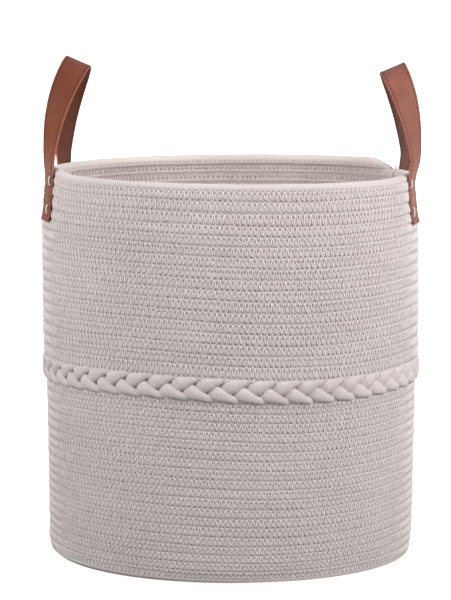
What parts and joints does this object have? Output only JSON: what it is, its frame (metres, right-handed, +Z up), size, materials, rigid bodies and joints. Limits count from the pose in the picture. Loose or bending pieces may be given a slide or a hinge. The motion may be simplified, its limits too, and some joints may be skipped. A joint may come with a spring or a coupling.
{
  "type": "laundry basket",
  "caption": "Round open laundry basket of coiled cotton rope with a plaited band round its wall and two folding leather strap handles.",
  "frame": {"origin": "centre of the base's underside", "axes": "+Z up along the basket's axis, -Y is the front, the handles stand on -X and +X"},
  "size_m": [0.3914, 0.3914, 0.5164],
  "materials": {
    "cotton_rope": "matte knitted cotton",
    "seam_thread": "matte cotton thread",
    "leather": "satin grained leather",
    "leather_lining": "satin smooth leather",
    "edge_stitching": "matte thread",
    "backing_pad": "matte felt",
    "lashing_cord": "matte waxed cord"
  },
  "bodies": {
    "basket": {"base_coil": "cotton_rope", "base_seam_thread": "seam_thread", "lower_wall_coil": "cotton_rope", "lower_wall_seam_thread": "seam_thread", "plait_strand_1": "cotton_rope", "plait_strand_2": "cotton_rope", "plait_strand_3": "cotton_rope", "plait_lower_seam_thread": "seam_thread", "plait_upper_seam_thread": "seam_thread", "upper_wall_coil": "cotton_rope", "upper_wall_seam_thread": "seam_thread", "rim_rope": "cotton_rope", "rim_seam_thread": "seam_thread", "rim_end_tack": "seam_thread", "left_front_end_leather": "leather", "left_front_end_lining": "leather_lining", "left_front_end_pad": "backing_pad", "left_front_lashing": "lashing_cord", "left_rear_end_leather": "leather", "left_rear_end_lining": "leather_lining", "left_rear_end_pad": "backing_pad", "left_rear_lashing": "lashing_cord", "right_front_end_leather": "leather", "right_front_end_lining": "leather_lining", "right_front_end_pad": "backing_pad", "right_front_lashing": "lashing_cord", "right_rear_end_leather": "leather", "right_rear_end_lining": "leather_lining", "right_rear_end_pad": "backing_pad", "right_rear_lashing": "lashing_cord"},
    "left_handle": {"left_loop_leather": "leather", "left_loop_lining": "leather_lining", "left_loop_edge_stitching": "edge_stitching"},
    "right_handle": {"right_loop_leather": "leather", "right_loop_lining": "leather_lining", "right_loop_edge_stitching": "edge_stitching"}
  },
  "joints": [
    {"name": "left_handle_fold", "type": "hinge", "parent": "basket", "child": "left_handle", "pos_m": [-0.18684, 0.01143, 0.39695], "axis": [-0.061, -0.9981, 0], "range_deg": [-25, 150]},
    {"name": "right_handle_fold", "type": "hinge", "parent": "basket", "child": "right_handle", "pos_m": [0.19019, 0.00332, 0.39695], "axis": [-0.0175, 0.9998, 0], "range_deg": [-30, 150]}
  ]
}
